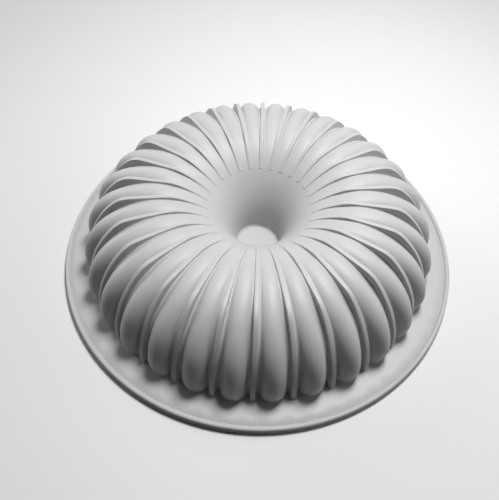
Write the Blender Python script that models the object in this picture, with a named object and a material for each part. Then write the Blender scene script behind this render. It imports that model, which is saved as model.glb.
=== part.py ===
"""Silicone kugelhopf mould, lying rim down with its fluted crown up.

Two pieces: the moulding, one skin of silicone with thirty rounded flutes, a
stiffening rib in every valley between them, a closed funnel and a flat rim;
and the wire ring that snaps into the open seat under the rim.
Units are metres, +Z is up, and the rim rests on z = 0 round the origin.
"""

import math

import bmesh
import bpy
import numpy as np

# Crown of flutes: radii from the axis, rises above the flange's top face
FLUTES = 30
CROWN_RISE = 0.0492
CREST_RADIUS = 0.063
FOOT_RADIUS = 0.1107
OUTER_ROUNDNESS = 2.2
FUNNEL_ROUNDNESS = 1.9
FLUTE_DEPTH = 0.0075
WALL = 0.0018

# Closed funnel in the middle
THROAT_RADIUS = 0.0142
FLOOR_RISE = 0.001
FLOOR_BAND_WIDTH = 0.0023
FLOOR_BAND_RISE = 0.0008

# Stiffening ribs in the valleys
RIB_WIDTH = 0.0028
RIB_TOP_RISE = 0.0494
RIB_BOW_RISE = 0.056
RIB_FOOT_SETBACK = 0.0014
RIB_BOW_ROUNDNESS = 1.8
RIB_CORNER_SOFTNESS = 0.0015
RIB_STEP_AT_FUNNEL = 0.00195
RIB_FUNNEL_ROUNDNESS = 1.81
RIB_TIP_RADIUS = 0.0315
RIB_TIP_HEIGHT = 0.00022

# Rim: flat flange, thick base under its edge, bead and lip round the outside
FLANGE_REACH = 0.0143
FLANGE_TOP = 0.0034
FLANGE_THICKNESS = 0.002
RIM_BASE_WIDTH = 0.0092
EDGE_CHAMFER = 0.0004
LIP_HEIGHT = 0.0011
LIP_STEP = 0.0005
BEAD_WIDTH = 0.0027
BEAD_RISE = 0.0012
BEAD_GROOVE_WIDTH = 0.0008
BEAD_GROOVE_DEPTH = 0.0004

# Wire ring and the open seat that holds it
WIRE_DIAMETER = 0.002
WIRE_CLEARANCE = 0.0003
WIRE_HEIGHT = 0.0014
WIRE_INSET = 0.003
SEAT_MOUTH = 0.0016

# Fineness of the surfaces: points over each flute, and rows and points of the rest
FLUTE_POINTS = 6
INSIDE_POINTS = 4
RIM_SEGMENTS = 60
FUNNEL_SEGMENTS = 36
FUNNEL_ROWS = 5
CROWN_ROWS = 7
FLANK_ROWS = 7
INSIDE_ROWS = 10
SEAT_POINTS = 7
BEAD_POINTS = 4
WIRE_SIDES = 8
OUTLINE_POINTS = 200
SHARP_CORNER = math.radians(38.0)

# The crown is set out by rays from a circle inside it, a little outside the middle of its width
CORE_OFFSET = 0.0128
CORE_RADIUS = 0.5 * (THROAT_RADIUS + FOOT_RADIUS) + CORE_OFFSET
RIB_FOOT_RADIUS = FOOT_RADIUS - RIB_FOOT_SETBACK
RIM_RADIUS = FOOT_RADIUS + FLANGE_REACH
PITCH = 2.0 * math.pi / FLUTES
FLOOR_RADIUS = THROAT_RADIUS - FLOOR_BAND_WIDTH
THROAT_RISE = FLOOR_RISE + FLOOR_BAND_RISE
FLOOR_BAND_SLOPE = math.atan2(FLOOR_BAND_RISE, FLOOR_BAND_WIDTH)


def quarter(width, height, roundness):
    """Points of |x/width|^n + |y/height|^n = 1 from its top to its right end."""
    turn = np.linspace(0.5 * math.pi, 0.0, OUTLINE_POINTS)
    across = width * np.clip(np.cos(turn), 0.0, 1.0) ** (2.0 / roundness)
    up = height * np.clip(np.sin(turn), 0.0, 1.0) ** (2.0 / roundness)
    return across, up


def outline(inner, outer):
    """Join a funnel quarter, lifted to the throat, and an outer quarter at the crest."""
    radius = np.concatenate([CREST_RADIUS - inner[0][::-1], CREST_RADIUS + outer[0][1:]])
    rise = np.concatenate([THROAT_RISE + inner[1][::-1], outer[1][1:]])
    return radius, rise


def flute_outline():
    """Crest line of a flute, from the funnel's throat over the top to the foot."""
    inner = quarter(CREST_RADIUS - THROAT_RADIUS, CROWN_RISE - THROAT_RISE, FUNNEL_ROUNDNESS)
    outer = quarter(FOOT_RADIUS - CREST_RADIUS, CROWN_RISE, OUTER_ROUNDNESS)
    return outline(inner, outer)


def rib_outline():
    """Crest line of a rib: it climbs the funnel, runs flat, turns a soft corner and bows to the foot."""
    height = CROWN_RISE - THROAT_RISE + RIB_STEP_AT_FUNNEL
    inner = quarter(CREST_RADIUS - THROAT_RADIUS, height, RIB_FUNNEL_ROUNDNESS)
    outer = quarter(RIB_FOOT_RADIUS - CREST_RADIUS, RIB_BOW_RISE, RIB_BOW_ROUNDNESS)
    radius, rise = outline(inner, outer)
    below_top = np.logaddexp(-rise / RIB_CORNER_SOFTNESS, -RIB_TOP_RISE / RIB_CORNER_SOFTNESS)
    softened = -RIB_CORNER_SOFTNESS * below_top
    return radius, np.where(radius > CREST_RADIUS, softened, np.minimum(rise, RIB_TOP_RISE))


def ray_angle(radius, rise):
    """Angle of the ray from the core circle through a point, 0 outwards and pi inwards."""
    return np.arctan2(rise, radius - CORE_RADIUS)


def reach(line, angle):
    """Distance from the core circle to an outline along the rays of these angles."""
    radius, rise = line
    turn = ray_angle(radius, rise)
    order = np.argsort(turn)
    return np.interp(angle, turn[order], np.hypot(radius - CORE_RADIUS, rise)[order])


def lip_angle():
    """Ray angle of the funnel's lip, where the ribs end and the flutes have faded out."""
    radius, rise = flute_outline()
    inside = radius < CREST_RADIUS
    return float(ray_angle(RIB_TIP_RADIUS, np.interp(RIB_TIP_RADIUS, radius[inside], rise[inside])))


def shoulder_angle():
    """Ray angle of the corner where a rib's flat top turns down into its bow."""
    fallen = max(0.0, 1.0 - (RIB_TOP_RISE / RIB_BOW_RISE) ** RIB_BOW_ROUNDNESS)
    across = (RIB_FOOT_RADIUS - CREST_RADIUS) * fallen ** (1.0 / RIB_BOW_ROUNDNESS)
    return float(ray_angle(CREST_RADIUS + across, RIB_TOP_RISE))


def valley_reach(angle):
    """Reach of the valley floors: a flute's crest less a depth that fades out at the lip."""
    fade = np.clip(np.asarray(angle) / lip_angle(), 0.0, 1.0)
    depth = FLUTE_DEPTH * 0.5 * (1.0 + np.cos(math.pi * fade))
    return reach(flute_outline(), angle) - depth


def on_ray(distance, angle):
    """Radius and height above the table of a point at a distance along a ray."""
    radius = CORE_RADIUS + distance * math.cos(angle)
    return radius, FLANGE_TOP + distance * math.sin(angle)


def arch(count):
    """Points over half an ellipse: from -1 to 1 across, and from 0 up to 1 and back."""
    turns = np.linspace(-0.5 * math.pi, 0.5 * math.pi, count)
    return [(math.sin(turn), math.cos(turn)) for turn in turns]


def crown_row(angle):
    """One closed row of the outside: in each pitch a flute's arch, then a rib's two sides and top."""
    crest = float(reach(flute_outline(), angle))
    valley = float(valley_reach(angle))
    rib = max(float(reach(rib_outline(), angle)), valley + RIB_TIP_HEIGHT)
    half_rib = 0.5 * RIB_WIDTH
    points = []
    for number in range(FLUTES):
        middle = number * PITCH
        for across, up in arch(FLUTE_POINTS):
            radius, height = on_ray(valley + (crest - valley) * up, angle)
            spread = 0.5 * PITCH - math.asin(half_rib / radius)
            azimuth = middle + across * spread
            points.append((radius * math.cos(azimuth), radius * math.sin(azimuth), height))
        azimuth = middle + 0.5 * PITCH
        radius, height = on_ray(rib, angle)
        for side in (-half_rib, half_rib):
            x = radius * math.cos(azimuth) - side * math.sin(azimuth)
            y = radius * math.sin(azimuth) + side * math.cos(azimuth)
            points.append((x, y, height))
    return points


def inside_row(angle, height=None):
    """One closed row of the cavity: the flutes and valleys set in by the wall, with no ribs."""
    crest = float(reach(flute_outline(), angle)) - WALL
    valley = float(valley_reach(angle)) - WALL
    points = []
    for number in range(FLUTES):
        middle = number * PITCH
        for across, up in arch(INSIDE_POINTS):
            radius, level = on_ray(valley + (crest - valley) * up, angle)
            spread = 0.5 * PITCH - (0.5 * RIB_WIDTH + 0.5 * WALL) / radius
            azimuth = middle + across * spread
            z = level if height is None else height
            points.append((radius * math.cos(azimuth), radius * math.sin(azimuth), z))
    return points


def circle(radius, height, segments):
    """Points of a level circle round the axis."""
    turns = [2.0 * math.pi * step / segments for step in range(segments)]
    return [(radius * math.cos(turn), radius * math.sin(turn), height) for turn in turns]


def add_loop(mesh, points):
    """Add a closed row of vertices."""
    return [mesh.verts.new(point) for point in points]


def band(mesh, first, second):
    """Faces between two rows of equal length."""
    for here in range(len(first)):
        after = (here + 1) % len(first)
        mesh.faces.new((first[here], first[after], second[after], second[here]))


def bands(mesh, rows):
    """Faces between each row and the next."""
    for first, second in zip(rows, rows[1:]):
        band(mesh, first, second)


def stitch(mesh, first, second):
    """Triangles between two round rows of unlike length, always stepping on the row that lags."""
    here, there = 0, 0
    while here < len(first) or there < len(second):
        if here * len(second) <= there * len(first) and here < len(first):
            ahead = first[(here + 1) % len(first)]
            mesh.faces.new((first[here % len(first)], ahead, second[there % len(second)]))
            here += 1
        else:
            ahead = second[(there + 1) % len(second)]
            mesh.faces.new((second[there % len(second)], ahead, first[here % len(first)]))
            there += 1


def fill_level(mesh, outer, inner):
    """Fill the flat ring between two rows that lie at one height."""
    edges = []
    for row in (outer, inner):
        for here in range(len(row)):
            pair = (row[here], row[(here + 1) % len(row)])
            edges.append(mesh.edges.get(pair) or mesh.edges.new(pair))
    bmesh.ops.triangle_fill(mesh, use_beauty=True, edges=edges)


def rim_section():
    """Section of the rim from the flange's top face round the outside to its underside."""
    lip = RIM_RADIUS
    bead_outside = RIM_RADIUS - LIP_STEP
    bead_middle = bead_outside - 0.5 * BEAD_WIDTH
    groove_end = bead_outside - BEAD_WIDTH
    groove_start = groove_end - BEAD_GROOVE_WIDTH
    base_inside = RIM_RADIUS - RIM_BASE_WIDTH
    section = [(groove_start, FLANGE_TOP)]
    section.append((0.5 * (groove_start + groove_end), FLANGE_TOP - BEAD_GROOVE_DEPTH))
    for turn in np.linspace(math.pi, 0.0, BEAD_POINTS):
        x = bead_middle + 0.5 * BEAD_WIDTH * math.cos(turn)
        section.append((x, FLANGE_TOP + BEAD_RISE * math.sin(turn)))
    section.append((bead_outside, LIP_HEIGHT + LIP_STEP))
    section.append((lip, LIP_HEIGHT))
    section.append((lip, EDGE_CHAMFER))
    section.append((lip - EDGE_CHAMFER, 0.0))
    section.extend(seat_section(base_inside + WIRE_INSET))
    section.append((base_inside, 0.0))
    section.append((base_inside, FLANGE_TOP - FLANGE_THICKNESS))
    return section


def seat_section(middle):
    """Section of the wire's seat: a narrow mouth that opens into a round channel."""
    radius = 0.5 * WIRE_DIAMETER + WIRE_CLEARANCE
    mouth = math.asin(0.5 * SEAT_MOUTH / radius)
    section = [(middle + 0.5 * SEAT_MOUTH, 0.0)]
    for turn in np.linspace(mouth, 2.0 * math.pi - mouth, SEAT_POINTS):
        x = middle + radius * math.sin(turn)
        section.append((x, WIRE_HEIGHT - radius * math.cos(turn)))
    section.append((middle - 0.5 * SEAT_MOUTH, 0.0))
    return section


def funnel_rows(mesh, inset):
    """Rows of the funnel below its lip, set in by the wall on the cavity's side."""
    turns = np.linspace(lip_angle(), ray_angle(THROAT_RADIUS, THROAT_RISE), FUNNEL_ROWS)[1:]
    throat_shift = inset * math.tan(0.25 * math.pi - 0.5 * FLOOR_BAND_SLOPE)
    floor_shift = inset * math.tan(0.5 * FLOOR_BAND_SLOPE)
    rows = []
    for turn in turns[:-1]:
        radius, height = on_ray(float(reach(flute_outline(), turn)) - inset, turn)
        rows.append(add_loop(mesh, circle(radius, height, FUNNEL_SEGMENTS)))
    throat = (THROAT_RADIUS + inset, FLANGE_TOP + THROAT_RISE - throat_shift)
    floor = (FLOOR_RADIUS + floor_shift, FLANGE_TOP + FLOOR_RISE - inset)
    for radius, height in (throat, floor):
        rows.append(add_loop(mesh, circle(radius, height, FUNNEL_SEGMENTS)))
    bands(mesh, rows)
    mesh.faces.new(rows[-1])
    return rows


def build_moulding():
    """The silicone skin: outside, funnel, rim and cavity as one closed surface."""
    mesh = bmesh.new()
    lip, shoulder = lip_angle(), shoulder_angle()
    crown = np.linspace(lip, shoulder, CROWN_ROWS)
    flank = np.linspace(shoulder, 0.0, FLANK_ROWS)[1:]
    outside = [add_loop(mesh, crown_row(turn)) for turn in np.concatenate([crown, flank])]
    bands(mesh, outside)

    points_per_pitch = len(outside[0]) // FLUTES
    lip_row = []
    for number in range(FLUTES):
        start = number * points_per_pitch
        flute_end = start + FLUTE_POINTS - 1
        rib = [outside[0][(flute_end + step) % len(outside[0])] for step in range(4)]
        mesh.faces.new(rib)
        lip_row.extend(outside[0][start:flute_end + 1])
    stitch(mesh, lip_row, funnel_rows(mesh, 0.0)[0])

    turns = np.linspace(lip, 0.0, INSIDE_ROWS)
    cavity = [add_loop(mesh, inside_row(turn)) for turn in turns[:-1]]
    underside = FLANGE_TOP - FLANGE_THICKNESS
    cavity.append(add_loop(mesh, inside_row(turns[-1], underside)))
    bands(mesh, cavity)
    stitch(mesh, cavity[0], funnel_rows(mesh, WALL)[0])

    rim = [add_loop(mesh, circle(x, z, RIM_SEGMENTS)) for x, z in rim_section()]
    bands(mesh, rim)
    fill_level(mesh, rim[0], outside[-1])
    fill_level(mesh, rim[-1], cavity[-1])
    bmesh.ops.recalc_face_normals(mesh, faces=mesh.faces)
    return mesh


def build_wire():
    """The wire ring: a round section carried once round the rim."""
    mesh = bmesh.new()
    middle = RIM_RADIUS - RIM_BASE_WIDTH + WIRE_INSET
    rows = []
    for side in range(WIRE_SIDES):
        turn = 2.0 * math.pi * side / WIRE_SIDES
        radius = middle + 0.5 * WIRE_DIAMETER * math.cos(turn)
        height = WIRE_HEIGHT + 0.5 * WIRE_DIAMETER * math.sin(turn)
        rows.append(add_loop(mesh, circle(radius, height, RIM_SEGMENTS)))
    bands(mesh, rows + rows[:1])
    bmesh.ops.recalc_face_normals(mesh, faces=mesh.faces)
    return mesh


def make_material(name, colour, roughness, metallic):
    """A plain Principled material."""
    material = bpy.data.materials.new(name)
    material.use_nodes = True
    shader = material.node_tree.nodes["Principled BSDF"]
    shader.inputs["Base Color"].default_value = (*colour, 1.0)
    shader.inputs["Roughness"].default_value = roughness
    shader.inputs["Metallic"].default_value = metallic
    return material


def add_object(name, mesh, material):
    """Turn a bmesh into a named object, shaded smooth up to its sharp corners."""
    data = bpy.data.meshes.new(name)
    mesh.to_mesh(data)
    mesh.free()
    data.materials.append(material)
    data.shade_smooth()
    data.set_sharp_from_angle(angle=SHARP_CORNER)
    part = bpy.data.objects.new(name, data)
    bpy.context.collection.objects.link(part)
    return part


def main():
    for old in list(bpy.data.objects):
        bpy.data.objects.remove(old, do_unlink=True)
    silicone = make_material("grey_silicone", (0.52, 0.52, 0.52), 0.55, 0.0)
    steel = make_material("steel_wire", (0.60, 0.60, 0.62), 0.3, 1.0)
    add_object("silicone_moulding", build_moulding(), silicone)
    add_object("rim_wire_ring", build_wire(), steel)


main()
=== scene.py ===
"""Fluted ring mould of grey silicone: its finished surfaces, materials and studio.

The file is laid out as an add-on and run as a script. Lengths are metres, +Z is
up, and the rim rests on z = 0 round the origin.

The crown is set out by rays in a vertical half plane. They all start on the core
circle, level with the flange's top face. A ray's turn is 0 straight outwards,
half of pi straight up and pi inwards, and its reach is how far the skin lies
along it. The skin goes round the mould in columns and along the rays in rows.
"""

import math

import bpy
import numpy as np
from bpy.props import FloatProperty, IntProperty, PointerProperty, StringProperty
from bpy.types import Operator, Panel, PropertyGroup
from mathutils import Matrix, Vector


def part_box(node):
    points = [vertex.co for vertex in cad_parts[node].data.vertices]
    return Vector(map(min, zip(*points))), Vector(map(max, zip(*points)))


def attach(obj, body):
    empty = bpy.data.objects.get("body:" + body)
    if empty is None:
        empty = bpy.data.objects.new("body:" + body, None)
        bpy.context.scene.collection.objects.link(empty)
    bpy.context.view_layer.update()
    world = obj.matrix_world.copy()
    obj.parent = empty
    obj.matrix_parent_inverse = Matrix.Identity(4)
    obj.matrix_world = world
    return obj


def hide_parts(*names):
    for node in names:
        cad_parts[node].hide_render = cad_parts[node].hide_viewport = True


bl_info = {
    "name": "Fluted Ring Mould",
    "version": (1, 0, 0),
    "blender": (4, 5, 0),
    "location": "3D View > Sidebar > Mould",
    "description": "Builds a fluted silicone ring mould with its rim wire, finishes and studio",
    "category": "Object",
}

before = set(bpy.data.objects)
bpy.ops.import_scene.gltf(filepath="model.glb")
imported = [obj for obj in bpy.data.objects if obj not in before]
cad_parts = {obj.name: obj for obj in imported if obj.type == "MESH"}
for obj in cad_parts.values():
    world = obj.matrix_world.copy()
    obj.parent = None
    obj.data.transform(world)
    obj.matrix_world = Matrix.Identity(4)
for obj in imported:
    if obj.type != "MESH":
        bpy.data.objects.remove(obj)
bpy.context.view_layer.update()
MOULDING_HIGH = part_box("silicone_moulding")[1]
WIRE_LOW, WIRE_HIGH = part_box("rim_wire_ring")

# Height of the flange's top face, where all rises start, and the flange's width outside the flutes
FLANGE_TOP = 0.0034
FLANGE_REACH = 0.0143

# Fineness: points of an outline, rows of the crown and of the plain stretches, by count or by share
OUTLINE_POINTS = 600
TOP_ROWS = 21
CORNER_ROWS = 9
FLANK_ROWS = 15
FILLET_ROWS = 4
FUNNEL_ROWS = 12
FLANGE_SHARES = [0.12, 0.4, 0.7]
UNDERSIDE_SHARES = [0.33, 0.67]
ARC_POINTS = 4
BEAD_POINTS = 9
SEAT_POINTS = 13
WIRE_SIDES = 16
WIRE_SEGMENTS = 360

# Degrees of turn to the close rows before and after the ribs' tips, and half the shoulder's band
BEFORE_TIP = [0.0, 0.15, 0.35, 0.7, 1.2]
AFTER_TIP = [0.15, 0.5]
SHOULDER_BAND = 8.0

# Columns over half a flute's arch, as shares of the quarter turn from its edge to its crest
ARCH_SHARES = np.array([0.10, 0.25, 0.40, 0.55, 0.70, 0.85, 1.0])

# A rounded corner's middle and start away from the sharp corner, as shares of its size
CORNER_SHARE = 0.29
CORNER_START = 1.2
# The largest share of a rib's height that a rounding takes
ROUNDING_LIMIT = 0.45
# The least room between a rib's root and a flute, as a share of that root's size
TOE_SHARE = 0.25
# The fillet where the cavity meets the flange's underside, as a share of the flange's thickness
MOUTH_FILLET = 0.4

# Finishes
SILICONE_IOR = 1.41
OUTSIDE_ROUGHNESS = 0.48
OUTSIDE_GRAIN = 0.000012
INSIDE_ROUGHNESS = 0.36
INSIDE_GRAIN = 0.000004
ROUGHNESS_SPREAD = 0.06
SPECK_CHANCE = 0.9
STEEL_SMOOTH, STEEL_DULL = 0.18, 0.42
DRAW_LINE_WIDTH = 0.0002
DRAW_LINE_STRETCH = 0.0008
DRAW_LINE_DEPTH = 0.000006
PAPER_FIBRE = 0.0015
PAPER_RELIEF = 0.00001
PAPER_ROUGHNESS = 0.9
PAPER_SHEEN = 0.2
# Distances from the axis at which the paper starts to fade into the backdrop and is gone
PAPER_FADE_START = 0.38
PAPER_FADE_END = 0.72

# Studio: the rim rests on the floor, and a hair keeps their faces apart
FLOOR_GAP = 0.00005
KEY_PLACE = (0.113, 0.113, 0.576)
KEY_SIZE = 0.16
LEFT_PLACE = (-1.187, 0.831, 0.438)
RIGHT_PLACE = (1.427, 0.252, 0.438)
SOFTBOX_SIZE = 1.2
LAMP_AIM = (0.0, 0.0, 0.05)
CAMERA_NEAR = 0.01


def length(name, description, default):
    """A distance that a user may change."""
    return FloatProperty(
        name=name, description=description, default=default, min=0.0, precision=5,
        unit="LENGTH", subtype="DISTANCE",
    )


def number(name, description, default):
    """A plain factor that a user may change."""
    return FloatProperty(name=name, description=description, default=default, min=0.0)


def degrees(name, description, default):
    """An angle that a user may change, given here in degrees."""
    return FloatProperty(
        name=name, description=description, default=math.radians(default),
        unit="ROTATION", subtype="ANGLE",
    )


def shade(name, description, default):
    """A colour that a user may change, as an sRGB hex value."""
    return StringProperty(name=name, description=description, default=default)


class MOULD_PG_crown(PropertyGroup):
    """Sizes of the ring of flutes."""

    flutes: IntProperty(
        name="Flutes", description="Flutes round the crown, with a rib between each two",
        default=30, min=8, max=60,
    )
    foot_radius: length(
        "Foot radius", "Axis to the flutes' feet on the flange", MOULDING_HIGH.x - FLANGE_REACH
    )
    crest_radius: length("Crest radius", "Axis to the top of the crown", 0.063)
    rise: length("Rise", "Flange to the top of the flutes", 0.0492)
    outer_roundness: number("Outer roundness", "Exponent of the outer side's superellipse", 2.2)
    depth: length("Flute depth", "Flute crest to valley floor at the foot", 0.0075)
    half_at_foot: degrees("Half width at foot", "Half of a flute's width at its foot", 3.92)
    half_at_shoulder: degrees("Half width at shoulder", "Half of a flute's width on top", 3.95)
    half_at_funnel: degrees("Half width at funnel", "Half of a flute's width at the funnel", 4.4)
    foot_arch: number("Foot arch", "Exponent of a flute's arch at its foot: 0.5 is an ellipse", 0.52)
    funnel_arch: number("Funnel arch", "Exponent of a flute's arch at the funnel: 1 is a parabola", 0.8)
    wall: length("Wall", "Thickness of the silicone", 0.0018)
    foot_tuck: length("Foot tuck", "How far the side draws in again at its foot", 0.0024)
    tuck_turn: degrees("Tuck turn", "Turn below which it draws in", 21.0)
    foot_fillet: length("Foot fillet", "Radius where a flute's foot meets the flange", 0.0007)
    core_offset: length("Core offset", "Core circle outside the middle of the crown's width", 0.0128)


class MOULD_PG_ribs(PropertyGroup):
    """Sizes of the stiffening ribs."""

    width: length("Rib width", "Thickness of a rib at its foot", 0.0028)
    tip_width: length("Tip width", "Thickness of a rib at its tip in the funnel", 0.0021)
    edge: length("Rib edge", "Rounding of a rib's top edges", 0.00025)
    draft: length("Draft", "How much wider each side is at the valley floor", 0.0001)
    root: length("Root", "Fillet where a rib meets the valley floor", 0.0003)
    top_rise: length("Top rise", "Flange to the ribs' flat tops", MOULDING_HIGH.z - FLANGE_TOP)
    bow_rise: length("Bow rise", "Height that the outer bow would have without its flat", 0.056)
    bow_roundness: number("Bow roundness", "Exponent of the outer bow's superellipse", 1.8)
    corner: length("Corner", "Softness of the corner between flat top and bow", 0.0015)
    lip: length("Lip", "Softness of the corner between flat top and funnel", 0.0004)
    foot_setback: length("Foot setback", "Rib's foot inside the flutes' feet", 0.0027)
    funnel_step: length(
        "Funnel step", "Flute's crest up to the top that a rib's funnel line aims at", 0.00195
    )
    funnel_roundness: number("Funnel roundness", "Exponent of that line's superellipse", 1.81)
    tip_radius: length("Tip radius", "Axis to the ribs' tips in the funnel", 0.0315)
    tip_height: length("Tip height", "Height of a rib's tip over the funnel", 0.0003)
    foot_fillet: length("Foot fillet", "Radius where ribs and valleys meet the flange", 0.0005)


class MOULD_PG_funnel(PropertyGroup):
    """Sizes of the closed funnel."""

    throat_radius: length("Throat radius", "Narrowest radius of the funnel's wall", 0.0142)
    roundness: number("Roundness", "Exponent of the funnel's superellipse", 1.9)
    floor_rise: length("Floor rise", "Flange to the funnel's floor", 0.0006)
    band_width: length("Band width", "Width of the sloping band round the floor", 0.0014)
    band_rise: length("Band rise", "Height of that band", 0.0012)
    rounding: length("Rounding", "Softness of the band's edges", 0.0002)


class MOULD_PG_rim(PropertyGroup):
    """Sizes of the flange, bead and wire seat."""

    thickness: length("Flange thickness", "Thickness of the flat flange", 0.002)
    base_width: length("Base width", "Width of the thick base under the rim", 0.0092)
    chamfer: length("Chamfer", "Bevel of the lowest edge", 0.0004)
    lip_height: length("Lip height", "Table to the top of the outer lip", 0.0011)
    lip_step: length("Lip step", "How far the lip stands out", 0.0005)
    bead_width: length("Bead width", "Width of the round bead", 0.0027)
    bead_rise: length("Bead rise", "Height of the bead over the flange", 0.0012)
    groove_width: length("Groove width", "Width of the groove inside the bead", 0.0008)
    groove_depth: length("Groove depth", "Depth of that groove", 0.0004)
    rounding: length("Rounding", "Softness of the rim's small edges", 0.00018)
    wire_inset: length("Wire inset", "Inside of the base to the wire's middle", 0.003)
    seat_clearance: length("Seat clearance", "Free room round the wire", 0.0003)
    seat_mouth: length("Seat mouth", "Width of the seat's opening below", 0.0016)


class MOULD_PG_finish(PropertyGroup):
    """Colours and textures."""

    silicone: shade("Silicone", "Grey of the silicone", "#BEBEBD")
    silicone_deep: shade("Silicone, deeper", "Grey of its faint darker clouds", "#B9B9B8")
    speck: shade("Speck", "Grey of the small nicks and specks of dust", "#6E6D6B")
    steel: shade("Steel", "Colour of the drawn wire", "#C3C2BF")
    floor: shade("Floor", "Colour of the studio floor", "#E6E6E6")
    floor_bounce: shade("Floor bounce", "Grey of the floor as it lights the mould", "#565656")
    cloud_size: length("Cloud size", "Size of the faint clouds in the silicone", 0.045)
    grain_size: length("Grain size", "Size of the matt grain, drawn coarse enough to show", 0.0005)
    speck_spacing: length("Speck spacing", "Size of the cells that may hold a speck", 0.016)
    speck_size: length("Speck size", "Radius of the largest speck", 0.0003)


class MOULD_PG_stage(PropertyGroup):
    """Camera and lamps."""

    azimuth: degrees("Azimuth", "Direction of the camera round the axis", -89.07)
    elevation: degrees("Elevation", "Height of the camera over the table", 54.0)
    roll: degrees("Roll", "Turn of the camera about its view", 1.373)
    distance: length("Distance", "Camera to the point that it looks at", 0.3487)
    aim_x: FloatProperty(name="Aim X", description="Point looked at", default=-0.00528, unit="LENGTH")
    aim_y: FloatProperty(name="Aim Y", description="Point looked at", default=-0.00648, unit="LENGTH")
    lens: number("Lens", "Focal length in millimetres on a 36 mm sensor", 38.246)
    floor_size: length("Floor size", "Side of the studio floor", 2.6)
    key_power: number("Key power", "Watts of the small softbox overhead", 3.7)
    left_power: number("Left power", "Watts of the large softbox behind on the left", 10.8)
    right_power: number("Right power", "Watts of the large softbox on the right", 6.0)
    sky_strength: number("Sky strength", "Even light from all round", 0.01)


class MOULD_PG_mould(PropertyGroup):
    """Everything that the mould is made from."""

    crown: PointerProperty(type=MOULD_PG_crown)
    ribs: PointerProperty(type=MOULD_PG_ribs)
    funnel: PointerProperty(type=MOULD_PG_funnel)
    rim: PointerProperty(type=MOULD_PG_rim)
    finish: PointerProperty(type=MOULD_PG_finish)
    stage: PointerProperty(type=MOULD_PG_stage)


def quarter(width, height, roundness):
    """The superellipse |x / width|^n + |y / height|^n = 1, from its top round to its right end."""
    turn = np.linspace(0.5 * math.pi, 0.0, OUTLINE_POINTS)
    across = width * np.clip(np.cos(turn), 0.0, 1.0) ** (2.0 / roundness)
    up = height * np.clip(np.sin(turn), 0.0, 1.0) ** (2.0 / roundness)
    return across, up


class Section:
    """The crown's section as reach along the rays from the core circle.

    A rib's line is the lower of its bow and its flat top. The corner between them
    is softened by s: rise = -s * log(exp(-bow / s) + exp(-top / s)).
    """

    def __init__(self, mould):
        crown, ribs, funnel = mould.crown, mould.ribs, mould.funnel
        self.mould = mould
        self.core = 0.5 * (funnel.throat_radius + crown.foot_radius) + crown.core_offset
        self.throat_rise = funnel.floor_rise + funnel.band_rise
        crest = crown.crest_radius
        hole = crest - funnel.throat_radius
        bowl = quarter(hole, crown.rise - self.throat_rise, funnel.roundness)
        side = quarter(crown.foot_radius - crest, crown.rise, crown.outer_roundness)
        self.flute_line = self.join(bowl, side)
        bowl = quarter(hole, crown.rise - self.throat_rise + ribs.funnel_step, ribs.funnel_roundness)
        rib_foot = crown.foot_radius - ribs.foot_setback
        side = quarter(rib_foot - crest, ribs.bow_rise, ribs.bow_roundness)
        radius, rise = self.join(bowl, side)
        last_flat = radius[rise >= ribs.top_rise][-1]
        self.shoulder = math.atan2(ribs.top_rise, last_flat - self.core)
        softness = np.where(radius > crest, ribs.corner, ribs.lip)
        rise = -softness * np.logaddexp(-rise / softness, -ribs.top_rise / softness)
        self.rib_line = radius, rise
        self.lip = self.turn_at(ribs.tip_radius)

    def join(self, bowl, side):
        """A funnel quarter, mirrored and lifted to the throat, then an outer quarter, as one line."""
        crest = self.mould.crown.crest_radius
        radius = np.concatenate([crest - bowl[0][::-1], crest + side[0][1:]])
        rise = np.concatenate([self.throat_rise + bowl[1][::-1], side[1][1:]])
        return radius, rise

    def turn_at(self, radius):
        """Turn of the ray that meets the flute line at a radius inside the crest."""
        line_radius, rise = self.flute_line
        inside = line_radius <= self.mould.crown.crest_radius
        height = np.interp(radius, line_radius[inside], rise[inside])
        return float(np.arctan2(height, radius - self.core))

    def reach(self, line, turns):
        """Distance along each ray to a line, read off between the line's points in polar form."""
        radius, rise = line
        line_turn = np.arctan2(rise, radius - self.core)
        order = np.argsort(line_turn)
        return np.interp(turns, line_turn[order], np.hypot(radius - self.core, rise)[order])

    def crest(self, turns):
        """Reach of a flute's crest: the flute line less tuck * (1 - turn / T)^2 below the turn T."""
        crown = self.mould.crown
        tuck = crown.foot_tuck * np.clip(1.0 - turns / crown.tuck_turn, 0.0, 1.0) ** 2
        return self.reach(self.flute_line, turns) - tuck

    def valley(self, turns):
        """Reach of the valley floors: the flute line less a depth that fades to the ribs' tips.

        The depth at a turn t is depth * (1 + cos(pi * t / tip)) / 2.
        """
        fade = np.clip(turns / self.lip, 0.0, 1.0)
        depth = self.mould.crown.depth * 0.5 * (1.0 + np.cos(math.pi * fade))
        return self.reach(self.flute_line, turns) - depth

    def half_width(self, turns):
        """Half of a flute's width in radians. It changes as a square from the shoulder both ways."""
        crown = self.mould.crown
        outwards = np.clip(1.0 - turns / self.shoulder, 0.0, 1.0) ** 2
        inwards = np.clip((turns - self.shoulder) / (self.lip - self.shoulder), 0.0, 1.0) ** 2
        to_foot = crown.half_at_foot - crown.half_at_shoulder
        to_funnel = crown.half_at_funnel - crown.half_at_shoulder
        return crown.half_at_shoulder + to_foot * outwards + to_funnel * inwards

    def place(self, distance, turns):
        """Radius and height of points at distances along rays."""
        return self.core + distance * np.cos(turns), FLANGE_TOP + distance * np.sin(turns)


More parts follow.
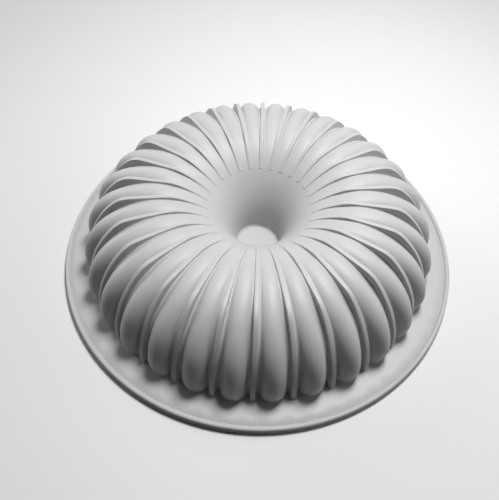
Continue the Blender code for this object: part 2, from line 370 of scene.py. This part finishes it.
def crown_turns(section):
    """Turns of the crown's rows: close at the ribs' tips, at their shoulder and at the foot."""
    crown = section.mould.crown
    tip = section.lip - np.radians(BEFORE_TIP)
    band = math.radians(SHOULDER_BAND)
    top = np.linspace(tip[-1], section.shoulder + band, TOP_ROWS)[1:]
    corner = np.linspace(top[-1], section.shoulder - band, CORNER_ROWS)[1:]
    fillet_turn = np.linspace(0.0, 0.5 * math.pi, FILLET_ROWS)
    fillet_height = crown.foot_fillet * (1.0 - np.sin(fillet_turn))
    foot = np.arcsin(fillet_height / (crown.foot_radius - section.core))
    flank = np.linspace(corner[-1], foot[0], FLANK_ROWS)[1:-1]
    return np.concatenate([tip, top, corner, flank, foot])


def rib_fade(section, turns):
    """Share of a rib's height at each row: none at its tip, then all, rounded like a quarter circle."""
    back = (section.lip - turns) * section.crest(turns)
    rounding = section.mould.ribs.edge
    return np.sqrt(np.clip(1.0 - (1.0 - np.clip(back / rounding, 0.0, 1.0)) ** 2, 0.0, 1.0))


def rib_levels(section, turns, floor):
    """Reach of a rib's columns: its flat top, rounded edge, side, rounded root and the valley floor."""
    ribs = section.mould.ribs
    top = np.maximum(section.reach(section.rib_line, turns[:, None]), floor + ribs.tip_height)
    height = (top - floor) * rib_fade(section, turns)[:, None]
    edge = np.minimum(ribs.edge, ROUNDING_LIMIT * height)
    fillet = np.minimum(ribs.root, ROUNDING_LIMIT * height)
    top = floor + height
    return np.concatenate([
        top, top, top - CORNER_SHARE * edge, top - edge,
        floor + fillet, floor + CORNER_SHARE * fillet, floor,
    ], axis=1)


def half_pitch(section, turns, ribbed):
    """Reach and azimuth of the columns from a rib's middle to the next flute's crest.

    A flute's arch over its width is h = (1 - u^2)^p, between the valley floor and the
    crest, and p grows evenly from foot to funnel. A rib is a slab that thins evenly
    from foot to tip. Its top edges and root are rounded, and its columns keep their
    distance from the rib's middle plane.
    """
    crown, ribs = section.mould.crown, section.mould.ribs
    middle = math.pi / crown.flutes
    turn = turns[:, None]
    valley = section.valley(turn)
    depth = section.crest(turn) - valley
    half_width = section.half_width(turn)
    inwards = np.clip(turn / section.lip, 0.0, 1.0)
    power = crown.foot_arch + (crown.funnel_arch - crown.foot_arch) * inwards

    def arch(azimuth):
        across = np.clip((middle - azimuth) / half_width, 0.0, 1.0)
        return valley + depth * (1.0 - across**2) ** power

    half = 0.5 * (ribs.width + (ribs.tip_width - ribs.width) * inwards)
    base = half + ribs.draft
    offsets = np.concatenate([
        np.zeros_like(half), half - CORNER_START * ribs.edge, half - CORNER_SHARE * ribs.edge, half,
        base, base + CORNER_SHARE * ribs.root, base + ribs.root,
    ], axis=1)
    valley_radius = section.place(valley, turn)[0]
    root_end = np.arcsin(offsets[:, -1:] / valley_radius)
    if ribbed:
        levels = rib_levels(section, turns, arch(root_end))
    else:
        levels = arch(np.arcsin(offsets / valley_radius))
    azimuths = np.arcsin(offsets / section.place(levels, turn)[0])

    toe = TOE_SHARE * ribs.root
    flute_start = middle - half_width
    strip_end = np.maximum(root_end + toe / valley_radius, flute_start - toe / valley_radius)
    first = np.arccos(np.clip((middle - strip_end) / half_width, 0.0, 1.0))
    sweep = first + (0.5 * math.pi - first) * ARCH_SHARES
    over = np.concatenate([strip_end, middle - half_width * np.cos(sweep)], axis=1)
    return np.concatenate([levels, arch(over)], axis=1), np.concatenate([azimuths, over], axis=1)


def all_round(section, turns, reach, azimuth):
    """Mirror half a pitch about its rib and repeat it round the axis, from a flute's crest on +X."""
    flutes = section.mould.crown.flutes
    reach = np.concatenate([reach[:, :0:-1], reach[:, :-1]], axis=1)
    azimuth = np.concatenate([-azimuth[:, :0:-1], azimuth[:, :-1]], axis=1)
    ribs_at = 2.0 * math.pi * (np.arange(flutes) + 0.5) / flutes
    around = (ribs_at[None, :, None] + azimuth[:, None, :]).reshape(len(turns), -1)
    radius, height = section.place(np.tile(reach, (1, flutes)), turns[:, None])
    return np.stack([radius * np.cos(around), radius * np.sin(around), height], axis=2)


def plan_normals(row):
    """Level outward normals of a closed row that goes round anticlockwise."""
    along = np.roll(row, -1, axis=0) - np.roll(row, 1, axis=0)
    normals = np.stack([along[:, 1], -along[:, 0], np.zeros(len(row))], axis=1)
    return normals / np.linalg.norm(normals, axis=1, keepdims=True)


def foot_flare(section, rows, columns):
    """Rows with a fillet round the foot.

    Where its radius is R, a point at a height h below R moves out by
    R - sqrt(R^2 - (R - h)^2). R grows from the ribs to the flutes' crests as a square.
    """
    crown, ribs = section.mould.crown, section.mould.ribs
    share = np.concatenate([np.zeros(columns - len(ARCH_SHARES)), ARCH_SHARES])
    half = ribs.foot_fillet + (crown.foot_fillet - ribs.foot_fillet) * share**2
    radius = np.tile(np.concatenate([half[:0:-1], half[:-1]]), crown.flutes)
    rise = rows[:, :, 2] - FLANGE_TOP
    below = np.clip(radius - rise, 0.0, radius)
    out = radius - np.sqrt(np.maximum(radius**2 - below**2, 0.0))
    return rows + out[:, :, None] * plan_normals(rows[-1])


def crown_outside(section):
    """Rows of the flutes and ribs, from the ribs' tips in the funnel to the filleted foot."""
    turns = crown_turns(section)
    reach, azimuth = half_pitch(section, turns, ribbed=True)
    rows = all_round(section, turns, reach, azimuth)
    return foot_flare(section, rows, reach.shape[1])


def inset(rows, depth):
    """Rows moved in along their normals, which are the cross product of the two grid directions."""
    along = np.gradient(rows, axis=0)
    around = np.roll(rows, -1, axis=1) - np.roll(rows, 1, axis=1)
    normals = np.cross(along, around)
    return rows - depth * normals / np.linalg.norm(normals, axis=2, keepdims=True)


def crown_inside(section):
    """Rows of the cavity: the crown without ribs, set in by the wall, to the flange's underside."""
    crown, rim = section.mould.crown, section.mould.rim
    turns = crown_turns(section)[::-2][::-1]
    reach, azimuth = half_pitch(section, turns, ribbed=False)
    rows = all_round(section, turns, reach, azimuth)[:, ::2]
    rows = inset(rows, crown.wall)[:-1]
    last = rows[-1].copy()
    out = plan_normals(last)
    underside = FLANGE_TOP - rim.thickness
    fillet = MOUTH_FILLET * rim.thickness
    turn = np.linspace(0.0, 0.5 * math.pi, ARC_POINTS)
    foot = last + fillet * (1.0 - np.cos(turn))[:, None, None] * out
    foot[:, :, 2] = (underside + fillet * (1.0 - np.sin(turn)))[:, None]
    return np.concatenate([rows, foot])


def circles(radius, height, azimuth):
    """Rows of level circles, one for each radius and height, with the given azimuths."""
    radius = np.atleast_1d(radius)[:, None]
    height = np.broadcast_to(np.atleast_1d(height)[:, None], (len(radius), len(azimuth)))
    return np.stack([radius * np.cos(azimuth), radius * np.sin(azimuth), height], axis=2)


def rounded(corners, cut):
    """A line through corners, each inner one a parabola that starts and ends at a distance cut."""
    corners = np.array(corners)
    before = corners[:-2] - corners[1:-1]
    after = corners[2:] - corners[1:-1]
    before *= cut / np.linalg.norm(before, axis=1, keepdims=True)
    after *= cut / np.linalg.norm(after, axis=1, keepdims=True)
    step = np.linspace(0.0, 1.0, ARC_POINTS)[None, :, None]
    middle = corners[1:-1, None] + before[:, None] * (1.0 - step) ** 2 + after[:, None] * step**2
    return np.concatenate([corners[:1], middle.reshape(-1, 2), corners[-1:]])


def funnel_section(section, depth):
    """Radius and height from the ribs' tips down the funnel's wall, over the band and along the floor.

    Set in by a wall's depth d under a band of slope b, the skin's corner at the throat
    drops by d * tan((90 - b) / 2) and the floor's corner moves out by d * tan(b / 2).
    """
    funnel = section.mould.funnel
    throat = math.atan2(section.throat_rise, funnel.throat_radius - section.core)
    turns = np.linspace(section.lip, throat, FUNNEL_ROWS + 1)[1:-1]
    turns = np.concatenate([section.lip + np.radians(AFTER_TIP), turns])
    radius, height = section.place(section.crest(turns), turns)
    normal = np.stack([np.gradient(height), -np.gradient(radius)], axis=1)
    normal /= np.linalg.norm(normal, axis=1, keepdims=True)
    wall = np.stack([radius, height], axis=1) - depth * normal
    slope = math.atan2(funnel.band_rise, funnel.band_width)
    drop = depth * math.tan(0.25 * math.pi - 0.5 * slope)
    floor_radius = funnel.throat_radius - funnel.band_width
    floor = FLANGE_TOP + funnel.floor_rise - depth
    corners = [
        wall[-1],
        (funnel.throat_radius + depth, FLANGE_TOP + section.throat_rise - drop),
        (floor_radius + depth * math.tan(0.5 * slope), floor),
        (0.5 * floor_radius, floor),
    ]
    return np.concatenate([wall[:-1], rounded(corners, funnel.rounding)])


def rim_section(mould):
    """Radius and height round the rim, from the flange's top face to its underside.

    The groove is one wave of a squared sine, the bead half an ellipse, the wire's
    seat a circle with a narrow mouth, and the other corners are rounded.
    """
    rim, edge = mould.rim, MOULDING_HIGH.x
    bead_out = edge - rim.lip_step
    bead_in = bead_out - rim.bead_width
    along = np.linspace(0.0, 1.0, ARC_POINTS + 1)
    groove = np.stack([
        bead_in - rim.groove_width * (1.0 - along),
        FLANGE_TOP - rim.groove_depth * np.sin(math.pi * along) ** 2,
    ], axis=1)
    turn = np.linspace(math.pi, 0.0, BEAD_POINTS)[1:]
    bead = np.stack([
        bead_out - 0.5 * rim.bead_width * (1.0 - np.cos(turn)),
        FLANGE_TOP + rim.bead_rise * np.sin(turn),
    ], axis=1)
    inside = edge - rim.base_width
    seat_middle = inside + rim.wire_inset
    mouth_out = seat_middle + 0.5 * rim.seat_mouth
    mouth_in = seat_middle - 0.5 * rim.seat_mouth
    side = rounded([
        (bead_out, FLANGE_TOP - rim.rounding),
        (bead_out, rim.lip_height + rim.lip_step),
        (edge, rim.lip_height),
        (edge, rim.chamfer),
        (edge - rim.chamfer, 0.0),
        (mouth_out + rim.rounding, 0.0),
    ], rim.rounding)
    wire = 0.5 * (WIRE_HIGH.z - WIRE_LOW.z)
    seat_radius = wire + rim.seat_clearance
    mouth = math.asin(0.5 * rim.seat_mouth / seat_radius)
    turn = np.linspace(mouth, 2.0 * math.pi - mouth, SEAT_POINTS)
    seat = np.stack([
        seat_middle + seat_radius * np.sin(turn),
        0.5 * (WIRE_HIGH.z + WIRE_LOW.z) - seat_radius * np.cos(turn),
    ], axis=1)
    under = rounded([
        (mouth_in - rim.rounding, 0.0),
        (inside, 0.0),
        (inside, FLANGE_TOP - rim.thickness),
        (inside - 2.0 * rim.rounding, FLANGE_TOP - rim.thickness),
    ], rim.rounding)
    return np.concatenate([groove, bead, side, [(mouth_out, 0.0)], seat, [(mouth_in, 0.0)], under])


def level_rows(first, last, shares):
    """Rows between two rows, at shares of the way from one to the other."""
    shares = np.array(shares)[:, None, None]
    return first * (1.0 - shares) + last * shares


def moulding_rows(mould):
    """Rows of the silicone skin from the pole on the funnel's floor to the pole under it.

    With them comes the number of the row where the skin's inside starts.
    """
    section = Section(mould)
    crown = crown_outside(section)
    lip_azimuth = np.arctan2(crown[0, ::2, 1], crown[0, ::2, 0])
    even = np.linspace(0.0, 2.0 * math.pi, len(lip_azimuth), endpoint=False)

    outer_funnel = funnel_section(section, 0.0)
    floor_top = np.array([[[0.0, 0.0, outer_funnel[-1, 1]]]])
    rows = list(floor_top) + list(circles(*outer_funnel[::-1].T, lip_azimuth)) + list(crown)

    rim = rim_section(mould)
    rim_rows = circles(*rim.T, even)
    rows += list(level_rows(crown[-1, ::2], rim_rows[0], FLANGE_SHARES))
    rows += list(rim_rows)
    inside_start = len(rows)

    cavity = crown_inside(section)[::-1]
    rows += list(level_rows(rim_rows[-1], cavity[0], UNDERSIDE_SHARES))
    rows += list(cavity)
    inner_funnel = funnel_section(section, mould.crown.wall)
    inner_azimuth = np.arctan2(cavity[-1, :, 1], cavity[-1, :, 0])
    rows += list(circles(*inner_funnel.T, inner_azimuth))
    rows.append(np.array([[0.0, 0.0, inner_funnel[-1, 1]]]))
    return rows, inside_start


def skin_between(first, second, start):
    """Faces between two rows: four-sided, a fan to a pole, or triangles where the columns halve."""
    fine, coarse = max(len(first), len(second)), min(len(first), len(second))
    near, far = start, start + len(first)
    step = np.arange(coarse)
    after = (step + 1) % coarse
    if fine == coarse:
        return np.stack([near + step, far + step, far + after, near + after], axis=1)
    if coarse == 1:
        ring = np.arange(fine)
        ahead = (ring + 1) % fine
        if len(first) == 1:
            return np.stack([np.full(fine, near), far + ring, far + ahead], axis=1)
        return np.stack([near + ahead, near + ring, np.full(fine, far)], axis=1)
    even, odd, ahead = 2 * step, 2 * step + 1, (2 * step + 2) % fine
    if len(first) == fine:
        sides = [(near + even, far + step, near + odd), (near + odd, far + step, far + after)]
        sides.append((near + odd, far + after, near + ahead))
    else:
        sides = [(near + step, far + even, far + odd), (near + step, far + odd, near + after)]
        sides.append((near + after, far + odd, far + ahead))
    return np.concatenate([np.stack(side, axis=1) for side in sides])


def add_piece(name, points, faces, materials):
    """A smooth piece at the origin from arrays of points and lists of faces."""
    data = bpy.data.meshes.new(name)
    data.from_pydata(points, [], faces)
    data.shade_smooth()
    for material in materials:
        data.materials.append(material)
    data.validate()
    piece = bpy.data.objects.new(name, data)
    bpy.context.collection.objects.link(piece)
    return piece


def skin_piece(name, rows, materials, inside_start):
    """One closed skin through the rows. Faces from row inside_start on take the second material."""
    starts = np.concatenate([[0], np.cumsum([len(row) for row in rows])])
    faces, finish = [], []
    for index, (first, second) in enumerate(zip(rows, rows[1:])):
        between = skin_between(first, second, starts[index])
        faces += between.tolist()
        finish.append(np.full(len(between), int(index >= inside_start)))
    piece = add_piece(name, np.concatenate(rows), faces, materials)
    piece.data.polygons.foreach_set("material_index", np.concatenate(finish))
    return piece


def wire_points(segments, sides):
    """A torus: a circle of the wire's radius carried once round the circle that the frame gives."""
    wire = 0.5 * (WIRE_HIGH.z - WIRE_LOW.z)
    middle = WIRE_HIGH.x - wire
    around = np.linspace(0.0, 2.0 * math.pi, segments, endpoint=False)[:, None]
    about = np.linspace(0.0, 2.0 * math.pi, sides, endpoint=False)[None, :]
    radius = middle + wire * np.cos(about)
    height = 0.5 * (WIRE_HIGH.z + WIRE_LOW.z) + wire * np.sin(about)
    height = np.broadcast_to(height, (segments, sides))
    return np.stack([radius * np.cos(around), radius * np.sin(around), height], axis=2)


def closed_grid_faces(rows, columns):
    """Four-sided faces of a grid that closes both ways."""
    row, column = np.meshgrid(np.arange(rows), np.arange(columns), indexing="ij")
    next_row, next_column = (row + 1) % rows, (column + 1) % columns
    corners = [(row, column), (next_row, column), (next_row, next_column), (row, next_column)]
    return np.stack([(r * columns + c).ravel() for r, c in corners], axis=1)


def linear(hex_colour):
    """An sRGB hex value as a linear colour with full alpha."""
    value = np.array([int(hex_colour[place:place + 2], 16) for place in (1, 3, 5)]) / 255.0
    low = value / 12.92
    high = ((value + 0.055) / 1.055) ** 2.4
    return (*np.where(value <= 0.04045, low, high), 1.0)


def add_node(tree, kind, inputs=None, **settings):
    """Add a node, with its settings, and link or set its inputs."""
    node = tree.nodes.new(kind)
    for name, value in settings.items():
        setattr(node, name, value)
    for name, value in (inputs or {}).items():
        if isinstance(value, bpy.types.NodeSocket):
            tree.links.new(value, node.inputs[name])
        else:
            node.inputs[name].default_value = value
    return node


def new_material(name):
    """An empty material, its node tree, its object coordinates and its shader."""
    material = bpy.data.materials.new(name)
    material.use_nodes = True
    tree = material.node_tree
    tree.nodes.clear()
    shader = add_node(tree, "ShaderNodeBsdfPrincipled")
    add_node(tree, "ShaderNodeOutputMaterial", {"Surface": shader.outputs["BSDF"]})
    coordinates = add_node(tree, "ShaderNodeTexCoord").outputs["Object"]
    return material, tree, coordinates, shader


def moulded_silicone(finish, name, roughness, grain_height):
    """Platinum-cured silicone pressed in a spark-finished steel tool.

    The tool leaves an even matt grain, so highlights are broad and soft. The rubber
    is a little cloudy from its filler, and it picks up small nicks and dust.
    """
    material, tree, coordinates, shader = new_material(name)
    clouds = add_node(tree, "ShaderNodeTexNoise", {
        "Vector": coordinates, "Scale": 1.0 / finish.cloud_size, "Detail": 3.0, "Roughness": 0.5,
    })
    body = add_node(tree, "ShaderNodeMix", {
        0: clouds.outputs["Fac"], 6: linear(finish.silicone), 7: linear(finish.silicone_deep),
    }, data_type="RGBA")

    cells = add_node(tree, "ShaderNodeTexVoronoi", {
        "Vector": coordinates, "Scale": 1.0 / finish.speck_spacing, "Randomness": 1.0,
    })
    chance = add_node(tree, "ShaderNodeSeparateColor", {"Color": cells.outputs["Color"]})
    size = add_node(tree, "ShaderNodeMapRange", {
        "Value": chance.outputs["Red"], "From Min": SPECK_CHANCE, "From Max": 1.0,
        "To Min": 0.0, "To Max": finish.speck_size / finish.speck_spacing,
    })
    speck = add_node(tree, "ShaderNodeMath", {
        0: cells.outputs["Distance"], 1: size.outputs["Result"],
    }, operation="LESS_THAN")
    colour = add_node(tree, "ShaderNodeMix", {
        0: speck.outputs["Value"], 6: body.outputs[2], 7: linear(finish.speck),
    }, data_type="RGBA")
    tree.links.new(colour.outputs[2], shader.inputs["Base Color"])

    grain = add_node(tree, "ShaderNodeTexNoise", {
        "Vector": coordinates, "Scale": 1.0 / finish.grain_size, "Detail": 2.0, "Roughness": 0.6,
    })
    matt = add_node(tree, "ShaderNodeMapRange", {
        "Value": grain.outputs["Fac"],
        "To Min": roughness - ROUGHNESS_SPREAD, "To Max": roughness + ROUGHNESS_SPREAD,
    })
    tree.links.new(matt.outputs["Result"], shader.inputs["Roughness"])
    relief = add_node(tree, "ShaderNodeBump", {
        "Height": grain.outputs["Fac"], "Strength": 1.0, "Distance": grain_height,
    })
    tree.links.new(relief.outputs["Normal"], shader.inputs["Normal"])
    shader.inputs["IOR"].default_value = SILICONE_IOR
    return material


def drawn_steel(finish):
    """Stainless wire drawn through a die.

    Drawing leaves fine lines along the wire, so the noise is stretched hard round
    the ring: it reads the radius and the height, and only a little of the turn.
    """
    material, tree, coordinates, shader = new_material("drawn_stainless_steel")
    place = add_node(tree, "ShaderNodeSeparateXYZ", {"Vector": coordinates})
    level = add_node(tree, "ShaderNodeCombineXYZ", {"X": place.outputs["X"], "Y": place.outputs["Y"]})
    radius = add_node(tree, "ShaderNodeVectorMath", {0: level.outputs["Vector"]}, operation="LENGTH")
    turn = add_node(tree, "ShaderNodeMath", {
        0: place.outputs["Y"], 1: place.outputs["X"],
    }, operation="ARCTAN2")
    slow = add_node(tree, "ShaderNodeMath", {
        0: turn.outputs["Value"], 1: DRAW_LINE_STRETCH,
    }, operation="MULTIPLY")
    across = add_node(tree, "ShaderNodeCombineXYZ", {
        "X": radius.outputs["Value"], "Y": place.outputs["Z"], "Z": slow.outputs["Value"],
    })
    lines = add_node(tree, "ShaderNodeTexNoise", {
        "Vector": across.outputs["Vector"], "Scale": 1.0 / DRAW_LINE_WIDTH, "Detail": 3.0,
    })
    matt = add_node(tree, "ShaderNodeMapRange", {
        "Value": lines.outputs["Fac"], "To Min": STEEL_SMOOTH, "To Max": STEEL_DULL,
    })
    tree.links.new(matt.outputs["Result"], shader.inputs["Roughness"])
    relief = add_node(tree, "ShaderNodeBump", {
        "Height": lines.outputs["Fac"], "Strength": 1.0, "Distance": DRAW_LINE_DEPTH,
    })
    tree.links.new(relief.outputs["Normal"], shader.inputs["Normal"])
    shader.inputs["Base Color"].default_value = linear(finish.steel)
    shader.inputs["Metallic"].default_value = 1.0
    return material


def seen_rays(tree):
    """A factor of 1 for rays from the camera, a mirror or glass, and 0 for soft bounced light."""
    rays = add_node(tree, "ShaderNodeLightPath")
    clear = add_node(tree, "ShaderNodeMath", {
        0: rays.outputs["Is Glossy Ray"], 1: rays.outputs["Is Transmission Ray"],
    }, operation="MAXIMUM")
    seen = add_node(tree, "ShaderNodeMath", {
        0: rays.outputs["Is Camera Ray"], 1: clear.outputs["Value"],
    }, operation="MAXIMUM")
    return seen.outputs["Value"]


def studio_floor(finish):
    """Matt white paper that takes the mould's shadow.

    The paper is seen pale, but lights the mould like a darker one, as a wide sweep
    of paper does whose far parts the lamps leave dim. Well away from the mould it
    fades into the backdrop, so a low view shows no dark horizon.
    """
    material, tree, coordinates, shader = new_material("matt_white_paper")
    fibres = add_node(tree, "ShaderNodeTexNoise", {
        "Vector": coordinates, "Scale": 1.0 / PAPER_FIBRE, "Detail": 2.0,
    })
    relief = add_node(tree, "ShaderNodeBump", {
        "Height": fibres.outputs["Fac"], "Strength": 1.0, "Distance": PAPER_RELIEF,
    })
    seen = seen_rays(tree)
    colour = add_node(tree, "ShaderNodeMix", {
        0: seen, 6: linear(finish.floor_bounce), 7: linear(finish.floor),
    }, data_type="RGBA")
    tree.links.new(colour.outputs[2], shader.inputs["Base Color"])
    tree.links.new(relief.outputs["Normal"], shader.inputs["Normal"])
    shader.inputs["Roughness"].default_value = PAPER_ROUGHNESS
    shader.inputs["Specular IOR Level"].default_value = PAPER_SHEEN

    distance = add_node(tree, "ShaderNodeVectorMath", {0: coordinates}, operation="LENGTH")
    far = add_node(tree, "ShaderNodeMapRange", {
        "Value": distance.outputs["Value"], "From Min": PAPER_FADE_START, "From Max": PAPER_FADE_END,
    }, interpolation_type="SMOOTHSTEP")
    fade = add_node(tree, "ShaderNodeMath", {0: far.outputs["Result"], 1: seen}, operation="MULTIPLY")
    clear = add_node(tree, "ShaderNodeBsdfTransparent")
    mix = add_node(tree, "ShaderNodeMixShader", {
        0: fade.outputs["Value"], 1: shader.outputs["BSDF"], 2: clear.outputs["BSDF"],
    })
    output = next(node for node in tree.nodes if node.type == "OUTPUT_MATERIAL")
    tree.links.new(mix.outputs["Shader"], output.inputs["Surface"])
    return material


def add_softbox(name, place, size, power):
    """A square lamp that faces the mould."""
    lamp = bpy.data.lights.new(name, "AREA")
    lamp.shape = "SQUARE"
    lamp.size = size
    lamp.energy = power
    holder = bpy.data.objects.new(name, lamp)
    bpy.context.collection.objects.link(holder)
    holder.location = place
    holder.rotation_euler = (Vector(LAMP_AIM) - Vector(place)).to_track_quat("-Z", "Y").to_euler()


def set_world(strength, shown):
    """Faint even light from all round, behind a pale backdrop that only the camera and mirrors see."""
    world = bpy.data.worlds.new("studio_air")
    bpy.context.scene.world = world
    world.use_nodes = True
    tree = world.node_tree
    tree.nodes.clear()
    light = add_node(tree, "ShaderNodeBackground", {"Color": linear("#FFFFFF"), "Strength": strength})
    backdrop = add_node(tree, "ShaderNodeBackground", {"Color": linear(shown), "Strength": 1.0})
    mix = add_node(tree, "ShaderNodeMixShader", {
        0: seen_rays(tree), 1: light.outputs["Background"], 2: backdrop.outputs["Background"],
    })
    add_node(tree, "ShaderNodeOutputWorld", {"Surface": mix.outputs["Shader"]})


def set_camera(stage):
    """The photograph's view: round the axis, up, back from the aim point, then rolled."""
    level = math.cos(stage.elevation)
    back = Vector((
        level * math.cos(stage.azimuth), level * math.sin(stage.azimuth), math.sin(stage.elevation),
    ))
    aim = Vector((stage.aim_x, stage.aim_y, FLANGE_TOP))
    lens = bpy.data.cameras.new("photo_view")
    lens.lens = stage.lens
    lens.clip_start = CAMERA_NEAR
    camera = bpy.data.objects.new("photo_view", lens)
    bpy.context.collection.objects.link(camera)
    turn = (-back).to_track_quat("-Z", "Y").to_matrix().to_4x4() @ Matrix.Rotation(stage.roll, 4, "Z")
    camera.matrix_world = Matrix.Translation(aim + stage.distance * back) @ turn
    bpy.context.scene.camera = camera


class MOULD_OT_silicone_moulding(Operator):
    """Build the silicone moulding as one closed skin over the frame's moulding"""

    bl_idname = "mould.silicone_moulding"
    bl_label = "Silicone moulding"

    def execute(self, context):
        mould = context.scene.ring_mould
        finish = mould.finish
        rows, inside_start = moulding_rows(mould)
        outside = moulded_silicone(finish, "silicone_spark_finished", OUTSIDE_ROUGHNESS, OUTSIDE_GRAIN)
        inside = moulded_silicone(finish, "silicone_polished_tool", INSIDE_ROUGHNESS, INSIDE_GRAIN)
        piece = skin_piece("moulding_skin", rows, [outside, inside], inside_start)
        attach(piece, "root")
        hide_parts("silicone_moulding")
        return {"FINISHED"}


class MOULD_OT_rim_wire(Operator):
    """Build the drawn wire ring that lies in the seat under the rim"""

    bl_idname = "mould.rim_wire"
    bl_label = "Rim wire ring"

    def execute(self, context):
        steel = drawn_steel(context.scene.ring_mould.finish)
        points = wire_points(WIRE_SEGMENTS, WIRE_SIDES)
        faces = closed_grid_faces(WIRE_SEGMENTS, WIRE_SIDES)
        piece = add_piece("wire_ring", points.reshape(-1, 3), faces.tolist(), [steel])
        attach(piece, "root")
        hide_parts("rim_wire_ring")
        return {"FINISHED"}


class MOULD_OT_stage(Operator):
    """Set the pale floor, the soft lamps and the photograph's camera"""

    bl_idname = "mould.stage"
    bl_label = "Studio"

    def execute(self, context):
        mould = context.scene.ring_mould
        stage, half = mould.stage, 0.5 * mould.stage.floor_size
        corners = [(x * half, y * half, -FLOOR_GAP) for x, y in ((-1, -1), (1, -1), (1, 1), (-1, 1))]
        floor = add_piece("studio_floor", corners, [(0, 1, 2, 3)], [studio_floor(mould.finish)])
        add_softbox("softbox_overhead", KEY_PLACE, KEY_SIZE, stage.key_power)
        add_softbox("softbox_left", LEFT_PLACE, SOFTBOX_SIZE, stage.left_power)
        add_softbox("softbox_right", RIGHT_PLACE, SOFTBOX_SIZE, stage.right_power)
        set_world(stage.sky_strength, mould.finish.floor)
        set_camera(stage)
        context.scene.view_settings.view_transform = "Standard"
        return {"FINISHED"}


class MOULD_PT_panel(Panel):
    """Lists the mould's pieces and sizes"""

    bl_idname = "MOULD_PT_panel"
    bl_label = "Fluted ring mould"
    bl_space_type = "VIEW_3D"
    bl_region_type = "UI"
    bl_category = "Mould"

    def draw(self, context):
        mould = context.scene.ring_mould
        for step in STEPS:
            self.layout.operator(step.bl_idname)
        for group in ("crown", "ribs", "funnel", "rim", "finish", "stage"):
            box = self.layout.box()
            box.label(text=group.capitalize())
            settings = getattr(mould, group)
            for name in type(settings).__annotations__:
                box.prop(settings, name)


STEPS = (MOULD_OT_silicone_moulding, MOULD_OT_rim_wire, MOULD_OT_stage)
CLASSES = (
    MOULD_PG_crown, MOULD_PG_ribs, MOULD_PG_funnel, MOULD_PG_rim, MOULD_PG_finish,
    MOULD_PG_stage, MOULD_PG_mould, *STEPS, MOULD_PT_panel,
)


def register():
    for kind in CLASSES:
        bpy.utils.register_class(kind)
    bpy.types.Scene.ring_mould = PointerProperty(type=MOULD_PG_mould)


def unregister():
    del bpy.types.Scene.ring_mould
    for kind in reversed(CLASSES):
        bpy.utils.unregister_class(kind)


def main():
    """Register the add-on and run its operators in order."""
    register()
    bpy.ops.mould.silicone_moulding()
    bpy.ops.mould.rim_wire()
    bpy.ops.mould.stage()


if __name__ == "__main__":
    main()
